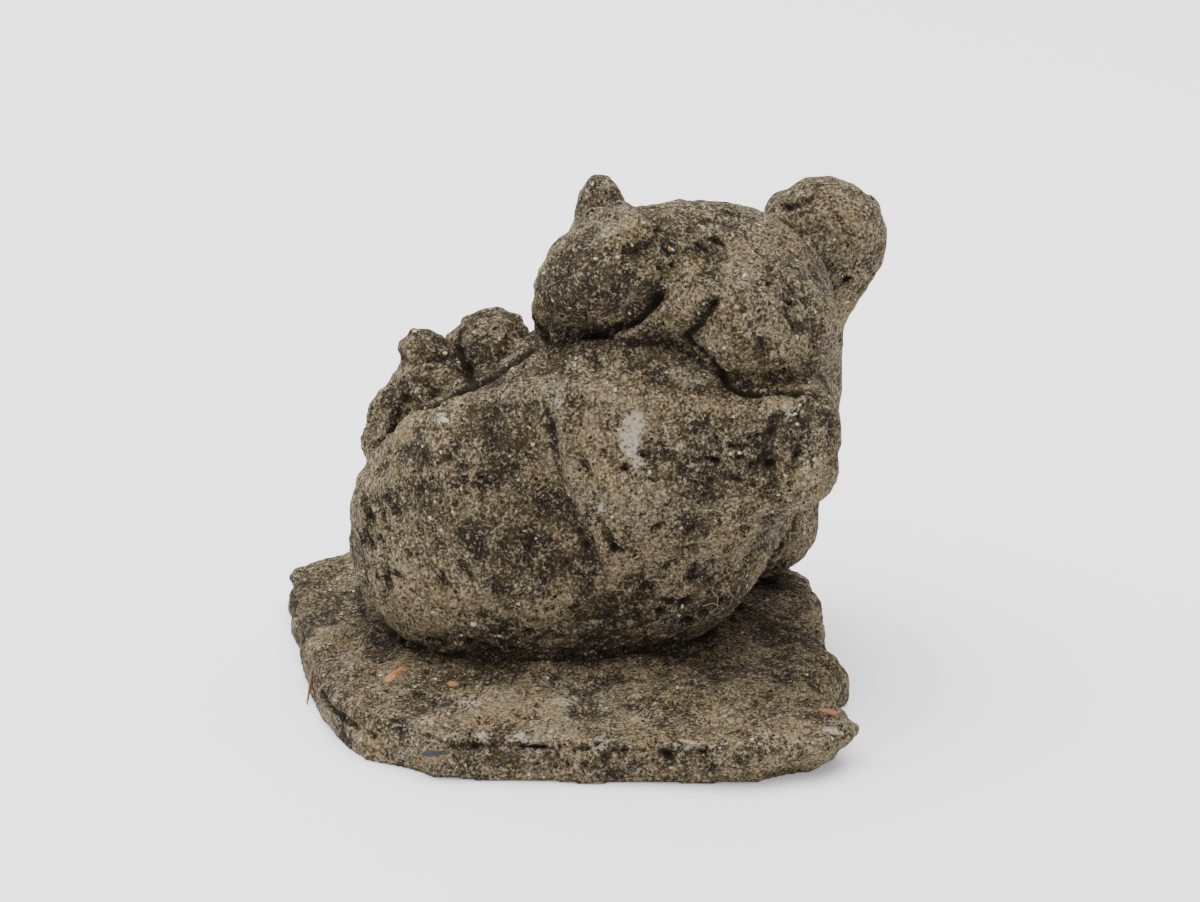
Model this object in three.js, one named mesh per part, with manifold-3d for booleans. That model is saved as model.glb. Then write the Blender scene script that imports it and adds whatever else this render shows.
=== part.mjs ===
// Mouse family garden statue, cast in one piece of concrete: a mother mouse lies curled on a
// rough slab, a young one lies on her back, a second one stands upright behind her, and a
// cluster of berries leans on her rump. Millimetres, +Z up. The front faces -Y and the
// mother's head is at +X. The origin is at the middle of the box's underside.

import * as THREE from 'three';
import { mergeVertices } from 'three/addons/utils/BufferGeometryUtils.js';
import Module from 'manifold-3d';

const wasm = await Module();
wasm.setup();

// Driving dimensions
const SLAB_LENGTH = 185;
const SLAB_DEPTH = 164;
const SLAB_RIM = 12.5;
const SLAB_CROWN = 21;
const SLAB_EDGE_ROUND = 6;
const LIP_OVERHANG = 8;
const MOTHER_LENGTH = 155;
const YOUNG_LENGTH = 94;
const SECOND_YOUNG_HEIGHT = 135;
const BERRY_DIAMETER = 25;
const TAIL_THICKNESS = 14;
const CONTACT_ROUND = 6;

// The mother lies a little to the right of the slab's middle and behind it
const MOTHER_RIGHT_OF_MIDDLE = 7;
const MOTHER_BEHIND_MIDDLE = 4;

// How finely the statue is faceted, in steps along the slab's length
const FACET_STEPS = 35;

// How a grid that is much coarser than the creases copes with them, in cells: how far it fills
// them, how far apart it takes a slope, and the furthest that it moves a corner
const GAP_FILLING = 0.1;
const SLOPE_PROBE = 0.5;
const CORNER_REACH = 1 / 3;

const STONE_COLOUR = 0x7d7263;

// A form is a signed distance, negative inside, with a box that holds its surface. Where forms
// are joined, "soft" is the width over which one runs into the next.

function ball( centre, radii, turn = [ 0, 0, 0 ] ) {

	const middle = new THREE.Vector3( ...centre );
	const radius = new THREE.Vector3( ...radii );
	const back = turning( turn ).invert();
	const q = new THREE.Vector3();
	const distance = ( p ) => {

		q.copy( p ).sub( middle ).applyMatrix4( back ).divide( radius );
		const near = q.length();
		return near * ( near - 1 ) / ( q.divide( radius ).length() + 1e-9 );

	};

	return { distance, box: boxAround( middle, Math.max( ...radii ) ) };

}

function block( centre, halves, round, turn = [ 0, 0, 0 ] ) {

	const middle = new THREE.Vector3( ...centre );
	const core = new THREE.Vector3( ...halves ).subScalar( round );
	const back = turning( turn ).invert();
	const q = new THREE.Vector3();
	const zero = new THREE.Vector3();
	const distance = ( p ) => {

		q.copy( p ).sub( middle ).applyMatrix4( back );
		q.set( Math.abs( q.x ), Math.abs( q.y ), Math.abs( q.z ) ).sub( core );
		const inner = Math.min( Math.max( q.x, q.y, q.z ), 0 );
		return q.max( zero ).length() + inner - round;

	};

	return { distance, box: boxAround( middle, Math.hypot( ...halves ) ) };

}

function limb( from, to, fromRadius, toRadius ) {

	const start = new THREE.Vector3( ...from );
	const along = new THREE.Vector3( ...to ).sub( start );
	const q = new THREE.Vector3();
	const distance = ( p ) => {

		const share = THREE.MathUtils.clamp( q.copy( p ).sub( start ).dot( along ) / along.lengthSq(), 0, 1 );
		return q.addScaledVector( along, - share ).length() - THREE.MathUtils.lerp( fromRadius, toRadius, share );

	};

	const box = boxAround( start, fromRadius ).union( boxAround( new THREE.Vector3( ...to ), toRadius ) );
	return { distance, box };

}

function turning( degrees ) {

	const [ x, y, z ] = degrees.map( THREE.MathUtils.degToRad );
	return new THREE.Matrix4().makeRotationFromEuler( new THREE.Euler( x, y, z, 'ZYX' ) );

}

function boxAround( middle, reach ) {

	return new THREE.Box3( middle.clone().subScalar( reach ), middle.clone().addScalar( reach ) );

}

function softMin( a, b, soft ) {

	const near = Math.max( soft - Math.abs( a - b ), 0 ) / soft;
	return Math.min( a, b ) - near * near * soft / 4;

}

function softMax( a, b, soft ) {

	return - softMin( - a, - b, soft );

}

function join( soft, ...forms ) {

	const distance = ( p ) => forms.slice( 1 ).reduce(
		( near, form ) => softMin( near, form.distance( p ), soft ), forms[ 0 ].distance( p ) );
	const box = forms.reduce( ( all, form ) => all.union( form.box ), new THREE.Box3() );
	return { distance, box };

}

function carve( soft, form, hollow ) {

	return { distance: ( p ) => softMax( form.distance( p ), - hollow.distance( p ), soft ), box: form.box };

}

// A figure is drawn in hundredths of its own length, from the point that it rests on
function place( form, restsOn, length ) {

	const unit = length / 100;
	const q = new THREE.Vector3();
	const distance = ( p ) => unit * form.distance( q.copy( p ).sub( restsOn ).divideScalar( unit ) );
	const box = form.box.clone();
	box.min.multiplyScalar( unit ).add( restsOn );
	box.max.multiplyScalar( unit ).add( restsOn );
	return { distance, box };

}

// The closed surface where a form's distance is zero: one corner in each grid cell that the
// surface crosses, drawn onto it, and two triangles across each grid edge that it crosses.
// The ground, z = 0, is a plane of the grid, so no corner lies close to it.
function surface( form, cell ) {

	const low = form.box.min.clone().divideScalar( cell ).floor().subScalar( 1 ).multiplyScalar( cell );
	const count = form.box.max.clone().sub( low ).divideScalar( cell ).ceil().addScalar( 3 );
	const stride = [ 1, count.x, count.x * count.y ];
	const values = new Float64Array( count.x * count.y * count.z );
	const point = new THREE.Vector3();

	for ( let k = 0, n = 0; k < count.z; k ++ ) {

		for ( let j = 0; j < count.y; j ++ ) {

			for ( let i = 0; i < count.x; i ++, n ++ ) {

				values[ n ] = form.distance( point.set( i, j, k ).multiplyScalar( cell ).add( low ) );

			}

		}

	}

	closeNarrowGaps( values, stride, cell * GAP_FILLING );
	const corners = [];
	const cornerOf = new Map();
	const cornerIn = ( i, j, k ) => {

		const home = i + stride[ 1 ] * j + stride[ 2 ] * k;

		if ( ! cornerOf.has( home ) ) {

			cornerOf.set( home, corners.length / 3 );
			const middle = crossing( values, stride, home ).add( point.set( i, j, k ) );
			corners.push( ...drawOnto( form, middle.multiplyScalar( cell ).add( low ), cell ) );

		}

		return cornerOf.get( home );

	};

	const triangles = [];

	for ( let k = 1; k < count.z - 1; k ++ ) {

		for ( let j = 1; j < count.y - 1; j ++ ) {

			for ( let i = 1; i < count.x - 1; i ++ ) {

				const here = values[ i + stride[ 1 ] * j + stride[ 2 ] * k ];

				for ( let axis = 0; axis < 3; axis ++ ) {

					const there = values[ i + stride[ 1 ] * j + stride[ 2 ] * k + stride[ axis ] ];
					if ( ( here < 0 ) === ( there < 0 ) ) continue;
					const u = [ 0, 0, 0 ];
					const v = [ 0, 0, 0 ];
					u[ ( axis + 1 ) % 3 ] = 1;
					v[ ( axis + 2 ) % 3 ] = 1;
					const a = cornerIn( i - u[ 0 ] - v[ 0 ], j - u[ 1 ] - v[ 1 ], k - u[ 2 ] - v[ 2 ] );
					const b = cornerIn( i - v[ 0 ], j - v[ 1 ], k - v[ 2 ] );
					const c = cornerIn( i, j, k );
					const d = cornerIn( i - u[ 0 ], j - u[ 1 ], k - u[ 2 ] );
					if ( here < 0 ) triangles.push( a, b, c, a, c, d );
					else triangles.push( a, c, b, a, d, c );

				}

			}

		}

	}

	const geometry = new THREE.BufferGeometry();
	geometry.setAttribute( 'position', new THREE.Float32BufferAttribute( corners, 3 ) );
	geometry.setIndex( triangles );
	return geometry;

}

// Fills what is narrower than a grid cell, a cell corner at a time, until the surface passes
// through every cell only once
function closeNarrowGaps( values, stride, depth ) {

	const cubeCorners = [ ...Array( 8 ).keys() ].map( ( corner ) =>
		( corner & 1 ) * stride[ 0 ] + ( ( corner >> 1 ) & 1 ) * stride[ 1 ] + ( corner >> 2 ) * stride[ 2 ] );
	const passesOnce = [ ...Array( 256 ).keys() ].map( ( inside ) =>
		hangTogether( inside ) && hangTogether( 255 - inside ) );
	let filled = true;

	while ( filled ) {

		filled = false;

		for ( let home = 0; home < values.length - cubeCorners[ 7 ]; home ++ ) {

			const inside = cubeCorners.reduce( ( bits, step, corner ) =>
				bits + ( values[ home + step ] < 0 ? 1 << corner : 0 ), 0 );
			if ( passesOnce[ inside ] ) continue;
			const outside = cubeCorners.map( ( step ) => home + step ).filter( ( n ) => values[ n ] >= 0 );
			values[ outside.reduce( ( least, n ) => values[ n ] < values[ least ] ? n : least ) ] = - depth;
			filled = true;

		}

	}

}

// Whether the cube corners set in these bits are joined to each other along the cube's edges
function hangTogether( corners ) {

	let reached = corners & - corners;

	for ( let pass = 0; pass < 8; pass ++ ) {

		for ( let corner = 0; corner < 8; corner ++ ) {

			if ( ! ( reached & ( 1 << corner ) ) ) continue;
			for ( const axis of [ 1, 2, 4 ] ) reached |= corners & ( 1 << ( corner ^ axis ) );

		}

	}

	return reached === corners;

}

// The middle of the points where the surface crosses the edges of one grid cell, in cells
function crossing( values, stride, home ) {

	const middle = new THREE.Vector3();
	const step = new THREE.Vector3();
	let crossings = 0;

	for ( let corner = 0; corner < 8; corner ++ ) {

		for ( let axis = 0; axis < 3; axis ++ ) {

			if ( corner & ( 1 << axis ) ) continue;
			step.set( corner & 1, ( corner >> 1 ) & 1, corner >> 2 );
			const near = home + step.x * stride[ 0 ] + step.y * stride[ 1 ] + step.z * stride[ 2 ];
			const from = values[ near ];
			const to = values[ near + stride[ axis ] ];
			if ( ( from < 0 ) === ( to < 0 ) ) continue;
			step.setComponent( axis, from / ( from - to ) );
			middle.add( step );
			crossings ++;

		}

	}

	return middle.divideScalar( crossings );

}

// Moves a point along the form's slope towards the surface. In a crease, where the slope
// turns from one side to the next, it hardly moves.
function drawOnto( form, start, cell ) {

	const probe = cell * SLOPE_PROBE;
	const slope = new THREE.Vector3( ...[ 0, 1, 2 ].map( ( axis ) => {

		const ahead = start.clone();
		const behind = start.clone();
		ahead.setComponent( axis, start.getComponent( axis ) + probe );
		behind.setComponent( axis, start.getComponent( axis ) - probe );
		return ( form.distance( ahead ) - form.distance( behind ) ) / ( 2 * probe );

	} ) );
	const smoothness = THREE.MathUtils.clamp( 4 * slope.lengthSq() - 3, 0, 1 );
	const step = - form.distance( start ) * smoothness;
	return slope.multiplyScalar( step ).clampLength( 0, cell * CORNER_REACH ).add( start );

}

function solid( geometry ) {

	const bare = geometry.clone();
	bare.deleteAttribute( 'normal' );
	bare.deleteAttribute( 'uv' );
	const merged = mergeVertices( bare, 1e-4 );
	return new wasm.Manifold( new wasm.Mesh( {
		numProp: 3,
		vertProperties: merged.getAttribute( 'position' ).array,
		triVerts: Uint32Array.from( merged.getIndex().array ),
	} ) );

}

// Slab: an irregular sheet of cast stone with chipped, notched edges, thickest in the middle
// and thin at its front right, where the lip stands clear of the ground. Its outline runs
// round from the front left, in hundredths of the slab's length and depth from its middle.
const SLAB_OUTLINE = [
	[ - 23, - 41.5 ], [ - 19.5, - 44.5 ], [ - 12, - 45.7 ], [ 13.5, - 47.6 ], [ 33, - 50 ], [ 44.5, - 46 ],
	[ 50, - 38 ], [ 48.5, - 30.5 ], [ 45, - 22 ], [ 49.5, - 11 ], [ 46.5, 1 ], [ 47, 21 ], [ 45.5, 35 ],
	[ 38, 45 ], [ 14.5, 46.5 ], [ - 18, 49 ], [ - 38.5, 50 ], [ - 46, 42.5 ], [ - 50, 37 ], [ - 48.5, 29 ],
	[ - 46.5, 16 ], [ - 44, 0 ], [ - 41, - 14.5 ], [ - 37, - 27 ], [ - 31, - 36.5 ],
].map( ( [ x, y ] ) => new THREE.Vector2( x * SLAB_LENGTH / 100, y * SLAB_DEPTH / 100 ) );

function outlineDistance( x, y, outline ) {

	const point = new THREE.Vector2( x, y );
	const edge = new THREE.Vector2();
	const reach = new THREE.Vector2();
	let near = Infinity;
	let inside = false;

	outline.forEach( ( start, n ) => {

		const end = outline[ ( n + 1 ) % outline.length ];
		edge.copy( end ).sub( start );
		const along = reach.copy( point ).sub( start ).dot( edge ) / edge.lengthSq();
		const share = THREE.MathUtils.clamp( along, 0, 1 );
		near = Math.min( near, reach.addScaledVector( edge, - share ).length() );
		const straddles = ( start.y > y ) !== ( end.y > y );
		if ( straddles && x < edge.x * ( y - start.y ) / edge.y + start.x ) inside = ! inside;

	} );
	return inside ? - near : near;

}

function slabForm() {

	const slopeWidth = SLAB_LENGTH / 3;
	const crownCurve = 0.7;
	const lipCurve = 1.3;
	const clamp01 = ( value ) => THREE.MathUtils.clamp( value, 0, 1 );
	const distance = ( { x, y, z } ) => {

		const edge = outlineDistance( x, y, SLAB_OUTLINE );
		const top = SLAB_RIM + ( SLAB_CROWN - SLAB_RIM ) * clamp01( - edge / slopeWidth ) ** crownCurve;
		const depthBelowRim = clamp01( 1 - z / SLAB_RIM );
		const towardsLip = clamp01( 3 * x / SLAB_LENGTH - 0.15 ) * clamp01( - 4 * y / SLAB_DEPTH - 0.5 );
		const side = edge + LIP_OVERHANG * towardsLip * depthBelowRim ** lipCurve;
		return softMax( z - top, side, SLAB_EDGE_ROUND );

	};

	const box = new THREE.Box3(
		new THREE.Vector3( - SLAB_LENGTH / 2, - SLAB_DEPTH / 2, - SLAB_RIM ),
		new THREE.Vector3( SLAB_LENGTH / 2, SLAB_DEPTH / 2, SLAB_CROWN ) );
	return { distance: ( p ) => Math.max( distance( p ), - SLAB_RIM - p.z ), box };

}

// Mother: a big haunch at the left, a round back, the head laid to the right with a leaf-shaped
// ear lobe hanging from it, and a blunt muzzle at the far right
function motherForm() {

	const haunch = ball( [ - 13.5, 2.6, 24 ], [ 35.5, 29, 27.7 ], [ 0, - 28, 0 ] );
	const back = ball( [ 13, 7.7, 33 ], [ 34.8, 24.5, 27 ], [ 0, 4, 0 ] );
	const flank = ball( [ - 5.8, - 0.6, 10.3 ], [ 34.2, 22.6, 19.4 ], [ 0, - 4, 0 ] );
	const belly = ball( [ 15.5, - 3.5, 20 ], [ 22, 21.8, 22 ], [ 0, - 45, 0 ] );
	const nape = ball( [ 9, - 5, 46 ], [ 26, 19, 18 ] );
	const shoulder = ball( [ - 15, - 9, 38 ], [ 20, 16.5, 16.5 ], [ 0, - 22, 0 ] );
	const brow = block( [ 15, - 7.5, 49.5 ], [ 24, 13.5, 9 ], 5, [ 18, 3, 0 ] );
	const sideHollow = ball( [ - 9, - 34, 38 ], [ 13, 10, 18 ], [ 0, - 14, 0 ] );
	const head = ball( [ 27, - 9, 37.4 ], [ 26.5, 20, 17.4 ], [ 0, - 36, 0 ] );
	const cheek = ball( [ 17.5, - 9.5, 36 ], [ 20, 18.5, 21 ], [ 0, - 30, 0 ] );
	const earLobe = ball( [ 3.4, - 18, 39 ], [ 8.8, 10.5, 21 ], [ - 10, - 17, 0 ] );
	const muzzle = block( [ 43.2, - 16.6, 44.4 ], [ 7.4, 10.4, 12 ], 7, [ 0, 4, 12 ] );
	const cheekGroove = limb( [ 37.2, - 30, 49 ], [ 38.2, - 29.7, 36 ], 2.4, 2.2 );
	const trunk = carve( 8, join( 9, haunch, nape, shoulder, brow, back, flank, belly ), sideHollow );
	const face = carve( 2, join( 6, join( 8, head, cheek, earLobe ), muzzle ), cheekGroove );
	return join( 2.4, trunk, face );

}

// Young mouse on the mother's back: it lies with its chin down at the left, one ear up and the
// other laid flat, an arm drawn in under the chin and a round haunch at the right
function youngForm() {

	const back = ball( [ 3.2, 2.1, 25.5 ], [ 43.6, 27.7, 28.7 ], [ 0, 8, 0 ] );
	const haunch = ball( [ 20.2, - 12.8, 19.1 ], [ 26.6, 23.4, 23.4 ], [ 0, 14, 0 ] );
	const head = ball( [ - 26.6, - 8.5, 35.1 ], [ 26.6, 19.1, 17.6 ], [ 0, - 28, 0 ] );
	const snout = limb( [ - 36.2, - 8.5, 28.7 ], [ - 46.8, - 7.4, 17 ], 11.7, 6.4 );
	const raisedEar = ball( [ - 30.2, 2.5, 40.4 ], [ 9.9, 7, 24 ], [ 0, - 4, 0 ] );
	const laidEar = limb( [ - 24.5, - 5, 53 ], [ - 16.5, - 18.5, 48.6 ], 4.4, 4.2 );
	const earHollow = limb( [ - 20, - 24.8, 49 ], [ - 15.5, - 26.3, 44.5 ], 2.8, 3.2 );
	const jawGap = limb( [ - 37, - 28, 17 ], [ - 9.5, - 26, 31.5 ], 3, 3.8 );
	const arm = limb( [ 0.5, - 18.5, 29 ], [ - 23.5, - 23, 17 ], 10.6, 2.6 );
	const armGroove = limb( [ 6, - 30, 31 ], [ - 7.5, - 27, 13.5 ], 1.8, 2.8 );
	const body = join( 3.2, back, haunch );
	const face = join( 3.5, join( 8.5, head, snout ), raisedEar, laidEar );
	const bodyAndHead = carve( 4.3, join( 4.3, body, face ), earHollow );
	return carve( 1.4, join( 1.6, carve( 1.4, bodyAndHead, jawGap ), arm ), armGroove );

}

// Second young mouse, upright against the mother's back: a round head turned away from the front,
// a slim neck, a long body that leans on her, paws held to the chest and a seated rump
function secondYoungForm() {

	const head = ball( [ 6, 0, 83.5 ], [ 14.8, 13.3, 15 ], [ 0, 20, 0 ] );
	const snout = limb( [ 5, 5, 81 ], [ 4.2, 15.5, 78 ], 10.5, 5.8 );
	const leftEar = ball( [ - 2.5, 9.5, 87.5 ], [ 5, 3.4, 5 ] );
	const rightEar = ball( [ 15.5, 9.5, 87 ], [ 5, 3.4, 5 ] );
	const neck = limb( [ 4.8, 0, 76 ], [ - 1, 0, 50 ], 10, 10 );
	const body = ball( [ - 9.5, 3, 34 ], [ 20, 17, 37 ], [ 0, 8, 0 ] );
	const leftArm = limb( [ - 13, 11, 56 ], [ - 5.5, 18.5, 45 ], 5, 4.2 );
	const rightArm = limb( [ 6, 7.5, 56 ], [ 0.5, 18, 46 ], 5, 4.2 );
	const leftFoot = ball( [ - 18, 9, 4 ], [ 5.5, 7.5, 4.5 ] );
	const rightFoot = ball( [ - 5, 9, 4 ], [ 5.5, 7.5, 4.5 ] );
	const rump = ball( [ - 8, 2, 9 ], [ 14.5, 11, 11 ] );
	const figure = join( 7, join( 6, head, snout ), neck, body, rump );
	return join( 3, figure, leftEar, rightEar, leftArm, rightArm, leftFoot, rightFoot );

}

// Berries: places on the mother's rump in hundredths of her length, and the size of each as a
// share of the berry diameter
const BERRIES = [
	[ [ - 17.4, 3.9, 56.8 ], 1 ], [ [ - 29, 3.9, 49.4 ], 1 ], [ [ - 31.6, 5.2, 55.5 ], 0.64 ],
	[ [ - 37.1, 3.2, 42.6 ], 0.76 ], [ [ - 20.6, 16.8, 49.7 ], 1.04 ], [ [ - 32.3, 14.2, 43.2 ], 0.96 ],
	[ [ - 38.7, 11.6, 33.5 ], 0.8 ], [ [ - 25.8, 24.5, 38.1 ], 0.96 ], [ [ - 34.8, 21.9, 29 ], 0.88 ],
];

function berryForm( motherRestsOn ) {

	const unit = MOTHER_LENGTH / 100;
	const balls = BERRIES.map( ( [ at, share ] ) => {

		const radius = share * BERRY_DIAMETER / 2;
		const centre = new THREE.Vector3( ...at ).multiplyScalar( unit ).add( motherRestsOn );
		return ball( centre.toArray(), [ radius, radius, radius ] );

	} );
	return join( BERRY_DIAMETER / 8, ...balls );

}

// Tail: it comes off the mother's rump at the back left and lies on the slab, along her back
function tailForm( motherRestsOn ) {

	const unit = MOTHER_LENGTH / 100;
	const route = new THREE.QuadraticBezierCurve(
		new THREE.Vector2( - 33, 14 ), new THREE.Vector2( - 24, 40 ), new THREE.Vector2( 20, 34 ) );
	const steps = 10;
	const taper = 0.6;
	const at = route.getPoints( steps ).map( ( { x, y } ) => new THREE.Vector3(
		x * unit + motherRestsOn.x, y * unit + motherRestsOn.y, motherRestsOn.z + TAIL_THICKNESS / 6 ) );
	const radius = ( n ) => TAIL_THICKNESS / 2 * ( 1 - taper * n / steps );
	const pieces = at.slice( 1 ).map( ( end, n ) =>
		limb( at[ n ].toArray(), end.toArray(), radius( n ), radius( n + 1 ) ) );
	return join( 1, ...pieces );

}

function statue() {

	const mother = new THREE.Vector3( MOTHER_RIGHT_OF_MIDDLE, MOTHER_BEHIND_MIDDLE, SLAB_CROWN );
	const onMother = ( x, y, z ) =>
		new THREE.Vector3( x, y, z ).multiplyScalar( MOTHER_LENGTH / 100 ).add( mother );
	const whole = join( CONTACT_ROUND,
		slabForm(),
		place( motherForm(), mother, MOTHER_LENGTH ),
		place( youngForm(), onMother( 23.2, 2.5, 54.2 ), YOUNG_LENGTH ),
		place( secondYoungForm(), onMother( 45.2, 28, 0 ), SECOND_YOUNG_HEIGHT ),
		berryForm( mother ),
		tailForm( mother ) );
	const ground = new THREE.BoxGeometry( 3 * SLAB_LENGTH, 3 * SLAB_DEPTH, SLAB_LENGTH );
	ground.translate( 0, 0, - SLAB_LENGTH / 2 );
	return solid( surface( whole, SLAB_LENGTH / FACET_STEPS ) ).subtract( solid( ground ) );

}

function geometryOf( manifold ) {

	const { vertProperties, triVerts } = manifold.getMesh();
	const geometry = new THREE.BufferGeometry();
	geometry.setAttribute( 'position', new THREE.BufferAttribute( vertProperties, 3 ) );
	geometry.setIndex( new THREE.BufferAttribute( triVerts, 1 ) );
	geometry.computeBoundingBox();
	const middle = geometry.boundingBox.getCenter( new THREE.Vector3() );
	geometry.translate( - middle.x, - middle.y, - geometry.boundingBox.min.z );
	geometry.computeVertexNormals();
	return geometry;

}

const castStone = new THREE.MeshStandardMaterial( { color: STONE_COLOUR, roughness: 0.95, metalness: 0 } );
const figure = new THREE.Mesh( geometryOf( statue() ), castStone );
figure.name = 'mouse_family_statue';

const group = new THREE.Group();
group.add( figure );

export default group;
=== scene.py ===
import itertools
import math

import bmesh
import bpy
import numpy as np
from mathutils import Euler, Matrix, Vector
from mathutils.bvhtree import BVHTree


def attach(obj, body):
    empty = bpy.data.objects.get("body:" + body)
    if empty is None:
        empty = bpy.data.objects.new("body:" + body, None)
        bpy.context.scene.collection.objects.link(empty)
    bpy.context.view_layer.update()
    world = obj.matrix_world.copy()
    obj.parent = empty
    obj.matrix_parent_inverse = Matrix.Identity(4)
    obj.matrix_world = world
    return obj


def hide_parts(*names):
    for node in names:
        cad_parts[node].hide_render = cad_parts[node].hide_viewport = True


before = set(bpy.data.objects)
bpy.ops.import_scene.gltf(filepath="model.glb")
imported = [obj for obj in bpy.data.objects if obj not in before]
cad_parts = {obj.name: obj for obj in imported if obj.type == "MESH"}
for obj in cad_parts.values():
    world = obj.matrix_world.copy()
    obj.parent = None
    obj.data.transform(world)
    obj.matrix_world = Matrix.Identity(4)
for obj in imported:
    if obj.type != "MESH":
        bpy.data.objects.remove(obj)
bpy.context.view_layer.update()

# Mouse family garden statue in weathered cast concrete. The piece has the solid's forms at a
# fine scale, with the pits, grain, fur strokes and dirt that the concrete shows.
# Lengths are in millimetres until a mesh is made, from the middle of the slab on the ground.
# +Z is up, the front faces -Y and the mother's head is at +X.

NODE = "mouse_family_statue"
MM = 0.001

# The solid's driving dimensions
SLAB_LENGTH = 185
SLAB_DEPTH = 164
SLAB_RIM = 12.5
SLAB_CROWN = 21
SLAB_EDGE_ROUND = 6
LIP_OVERHANG = 8
MOTHER_LENGTH = 155
YOUNG_LENGTH = 94
SECOND_YOUNG_HEIGHT = 135
BERRY_DIAMETER = 25
TAIL_THICKNESS = 14
MOTHER_RESTS_ON = np.array([7, 4, SLAB_CROWN], float)

# The visual surface
CELL = 1.1
CONTACT_ROUND = 1.6
TRIANGLES = 194000
FAR_OUTSIDE = 50

# They keep a division off zero
TINY = 1e-9
TINIER = 1e-12

# The photograph's view, in its own 1200 x 902 pixels
IMAGE_WIDTH = 1200
IMAGE_HEIGHT = 902
LENS = 100
SENSOR = 36
VIEW_DISTANCE = 1050
VIEW_ELEVATION = math.radians(20)
VIEW_TARGET = np.array([13.6, 4, 77])
FOCAL_PIXELS = IMAGE_WIDTH * LENS / SENSOR


# Forms: signed distances, negative inside, each with the box that holds its surface

class Form:
    """The distance at points, and the low and high corner of the box round its surface."""

    def __init__(self, at, low, high):
        self.at = at
        self.low = np.array(low, float)
        self.high = np.array(high, float)


def ball(centre, radii, turn=(0, 0, 0)):
    """An ellipsoid, turned about x, y and z by degrees."""
    middle = np.array(centre, np.float32)
    radius = np.broadcast_to(np.array(radii, np.float32), 3)
    axes = np.array(Euler([math.radians(angle) for angle in turn]).to_matrix(), np.float32)

    def at(points):
        offset = (points - middle) @ axes / radius
        near = np.sqrt((offset * offset).sum(1))
        offset /= radius
        return near * (near - 1) / (np.sqrt((offset * offset).sum(1)) + TINY)

    reach = radius.max()
    return Form(at, middle - reach, middle + reach)


def block(centre, halves, rounding, turn=(0, 0, 0)):
    """A box of half sizes with rounded edges, turned about x, y and z by degrees."""
    middle = np.array(centre, np.float32)
    core = np.array(halves, np.float32) - rounding
    axes = np.array(Euler([math.radians(angle) for angle in turn]).to_matrix(), np.float32)

    def at(points):
        offset = np.abs((points - middle) @ axes) - core
        outer = np.maximum(offset, 0)
        return np.sqrt((outer * outer).sum(1)) + np.minimum(offset.max(1), 0) - rounding

    reach = float(np.linalg.norm(halves))
    return Form(at, middle - reach, middle + reach)


def limb(start, end, start_radius, end_radius):
    """A tapered rod with round ends."""
    start = np.array(start, np.float32)
    end = np.array(end, np.float32)
    along = end - start

    def at(points):
        share = np.clip((points - start) @ along / (along @ along), 0, 1)
        offset = points - start - share[:, None] * along
        return np.sqrt((offset * offset).sum(1)) - (start_radius + (end_radius - start_radius) * share)

    reach = max(start_radius, end_radius)
    return Form(at, np.minimum(start, end) - reach, np.maximum(start, end) + reach)


def soft_min(first, second, soft):
    """The smaller of two distances, with the surfaces run into each other over the width soft."""
    near = np.maximum(soft - np.abs(first - second), 0) / soft
    return np.minimum(first, second) - near * near * soft / 4


def join(soft, *forms):
    """All the forms as one, run into each other over the width soft."""
    def at(points):
        distance = forms[0].at(points)
        for form in forms[1:]:
            distance = soft_min(distance, form.at(points), soft)
        return distance

    return Form(at, np.min([f.low for f in forms], 0), np.max([f.high for f in forms], 0))


def carve(soft, form, hollow):
    """The form less the hollow, with edges rounded over the width soft."""
    def at(points):
        return -soft_min(-form.at(points), hollow.at(points), soft)

    return Form(at, form.low, form.high)


def place(form, rests_on, length):
    """The form drawn in hundredths of its length, at full size on the point it rests on."""
    unit = length / 100
    rests_on = np.array(rests_on, np.float32)
    return Form(lambda points: unit * form.at((points - rests_on) / unit),
                form.low * unit + rests_on, form.high * unit + rests_on)


def on_mother(x, y, z):
    return MOTHER_RESTS_ON + np.array([x, y, z]) * MOTHER_LENGTH / 100


# The figures, in hundredths of their own lengths, as in the solid

SLAB_OUTLINE = np.array([
    (-23, -41.5), (-19.5, -44.5), (-12, -45.7), (13.5, -47.6), (33, -50), (44.5, -46), (50, -38),
    (48.5, -30.5), (45, -22), (49.5, -11), (46.5, 1), (47, 21), (45.5, 35), (38, 45), (14.5, 46.5),
    (-18, 49), (-38.5, 50), (-46, 42.5), (-50, 37), (-48.5, 29), (-46.5, 16), (-44, 0), (-41, -14.5),
    (-37, -27), (-31, -36.5),
]) * (SLAB_LENGTH / 100, SLAB_DEPTH / 100)

# The slab's uneven edge, each wave's depth, width and seed, and the crease round its left end
SLAB_OUTLINE_WAVES = [(1.1, 13, 1), (0.6, 6, 2)]
SLAB_EDGE_WEAR = 0.7
LEFT_CREASE_HEIGHT = 8.5
LEFT_CREASE_WIDTH = 1.3
LEFT_CREASE_DEPTH = 2.2
SLAB_MARGIN = 3


def outline_distance(x, y):
    """How far a place lies outside the slab's outline, negative inside it."""
    near = np.full(x.shape, np.inf, np.float32)
    inside = np.zeros(x.shape, bool)
    for (ax, ay), (bx, by) in zip(SLAB_OUTLINE, np.roll(SLAB_OUTLINE, -1, 0)):
        ex, ey = bx - ax, by - ay
        share = np.clip(((x - ax) * ex + (y - ay) * ey) / (ex * ex + ey * ey), 0, 1)
        near = np.minimum(near, np.hypot(x - ax - share * ex, y - ay - share * ey))
        straddles = (ay > y) != (by > y)
        inside ^= straddles & (x < ex * (y - ay) / (ey + TINIER) + ax)
    return np.where(inside, -near, near)


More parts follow.
